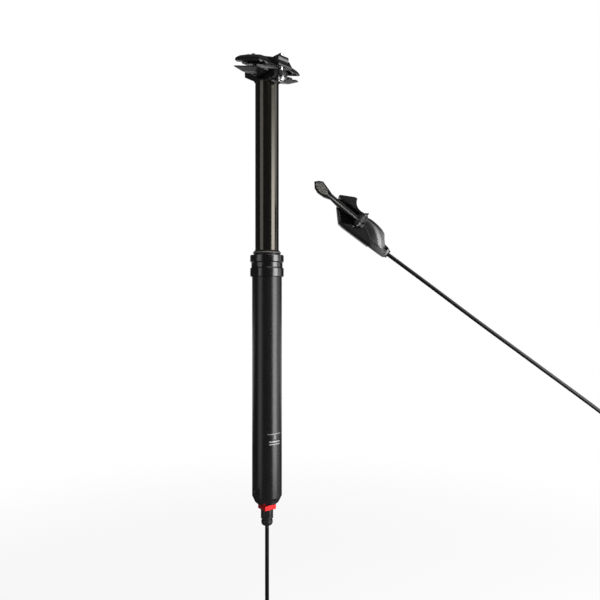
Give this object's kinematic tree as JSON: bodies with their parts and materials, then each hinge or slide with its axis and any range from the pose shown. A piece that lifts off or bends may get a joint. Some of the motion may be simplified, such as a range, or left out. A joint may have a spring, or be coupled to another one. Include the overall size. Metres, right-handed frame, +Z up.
{
  "type": "dropper seatpost",
  "caption": "Telescoping bicycle seatpost with a two-bolt saddle clamp, sealed collar, hydraulic hose and a thumb-lever handlebar remote.",
  "frame": {"origin": "post axis at the underside of the collar, where the seat tube ends", "axes": "+Z up along the post, +X towards the front of the bicycle, +Y to its left"},
  "size_m": [0.3132, 0.3127, 0.6859],
  "materials": {
    "tube_black": "satin black anodised aluminium",
    "collar_black": "gloss black anodised aluminium",
    "stanchion_black": "gloss black hard anodised, warm tint",
    "head_black": "satin black forged aluminium",
    "clamp_black": "satin black forged aluminium",
    "bare_alloy": "machined aluminium",
    "steel": "bright plated steel",
    "black_steel": "blackened steel",
    "key_brass": "turned brass",
    "bushing": "bearing polymer",
    "seal_rubber": "black rubber",
    "boot_rubber": "black rubber",
    "red_alloy": "red anodised aluminium",
    "connector_black": "black anodised aluminium",
    "hose_black": "black extruded hose jacket",
    "tie_black": "black strap",
    "remote_black": "satin black cast aluminium",
    "bracket_black": "black moulded plastic",
    "lever_grey": "dark grey anodised aluminium",
    "pad_grey": "dark grey moulded grip"
  },
  "bodies": {
    "lower_post": {"outer_tube": "tube_black", "seal_collar": "collar_black", "wiper_seal": "seal_rubber", "upper_bushing": "bushing", "top_stop": "seal_rubber", "end_cap": "tube_black", "end_cap_oring": "seal_rubber", "drop_bumper": "seal_rubber", "inner_shaft": "steel", "main_piston": "bare_alloy", "piston_oring": "seal_rubber", "valve_cage": "bare_alloy", "valve_spring": "steel", "connector_nut": "red_alloy", "hose_connector": "connector_black", "hose_boot": "boot_rubber", "hose_post": "hose_black", "hose_coil": "hose_black", "hose_remote": "hose_black", "coil_tie": "tie_black", "remote_body": "remote_black", "bar_bracket": "bracket_black", "bracket_bolt": "steel", "lever_pivot": "black_steel", "pivot_clip": "black_steel", "reservoir_bladder": "seal_rubber", "reservoir_cover": "bracket_black", "cover_screws": "steel", "bleed_screw": "steel", "hose_nut": "connector_black", "return_spring": "steel"},
    "upper_post": {"stanchion": "stanchion_black", "post_head": "head_black", "lower_bushing": "bushing", "guide_keys": "key_brass", "seal_head": "bare_alloy", "shaft_oring": "seal_rubber", "air_valve": "key_brass", "valve_cap": "connector_black", "clamp_bolts": "steel"},
    "floater": {"floating_piston": "bare_alloy", "floater_oring": "seal_rubber"},
    "saddle_clamp": {"lower_clamp": "clamp_black", "upper_clamp": "clamp_black"},
    "front_nut_block": {"front_nut": "black_steel"},
    "rear_nut_block": {"rear_nut": "black_steel"},
    "valve": {"slave_piston": "bare_alloy", "push_rod": "steel", "valve_poppet": "key_brass"},
    "lever": {"lever_arm": "lever_grey", "lever_pad": "pad_grey"},
    "plunger": {"master_piston": "bare_alloy", "piston_cup": "seal_rubber"}
  },
  "joints": [
    {"name": "post_travel", "type": "slide", "parent": "lower_post", "child": "upper_post", "axis": [0, 0, 1], "range_m": [-0.17, 0], "stiffness_N_per_m": 60, "springref_m": 0.2},
    {"name": "floater_slide", "type": "slide", "parent": "upper_post", "child": "floater", "axis": [0, 0, 1], "range_m": [0, 0.039]},
    {"name": "saddle_tilt", "type": "hinge", "parent": "upper_post", "child": "saddle_clamp", "pos_m": [0, 0, 0.2193], "axis": [0, 1, 0], "range_deg": [-5, 5]},
    {"name": "front_nut_slide", "type": "slide", "parent": "upper_post", "child": "front_nut_block", "axis": [0, 0, 1], "range_m": [-0.0018, 0.0018]},
    {"name": "rear_nut_slide", "type": "slide", "parent": "upper_post", "child": "rear_nut_block", "axis": [0, 0, 1], "range_m": [-0.0026, 0.0026]},
    {"name": "lever_pull", "type": "hinge", "parent": "lower_post", "child": "lever", "pos_m": [0.07556, 0.06425, 0.06088], "axis": [-0.4216, -0.4216, -0.8028], "range_deg": [0, 16], "stiffness_Nm_per_rad": 0.06, "springref_deg": -8.59},
    {"name": "plunger_slide", "type": "slide", "parent": "lower_post", "child": "plunger", "axis": [0.5677, 0.5677, -0.5962], "range_m": [0, 0.0026], "deforming": ["return_spring"]},
    {"name": "valve_slide", "type": "slide", "parent": "lower_post", "child": "valve", "axis": [0, 0, 1], "range_m": [0, 0.0023], "deforming": ["valve_spring"]}
  ],
  "couplings": [
    {"joint": "floater_slide", "follows": "post_travel", "ratio": -0.22676},
    {"joint": "front_nut_slide", "follows": "saddle_tilt", "m_per_rad": -0.019721},
    {"joint": "rear_nut_slide", "follows": "saddle_tilt", "m_per_rad": 0.027298},
    {"joint": "plunger_slide", "follows": "lever_pull", "m_per_rad": 0.0086},
    {"joint": "valve_slide", "follows": "lever_pull", "m_per_rad": 0.0078}
  ]
}
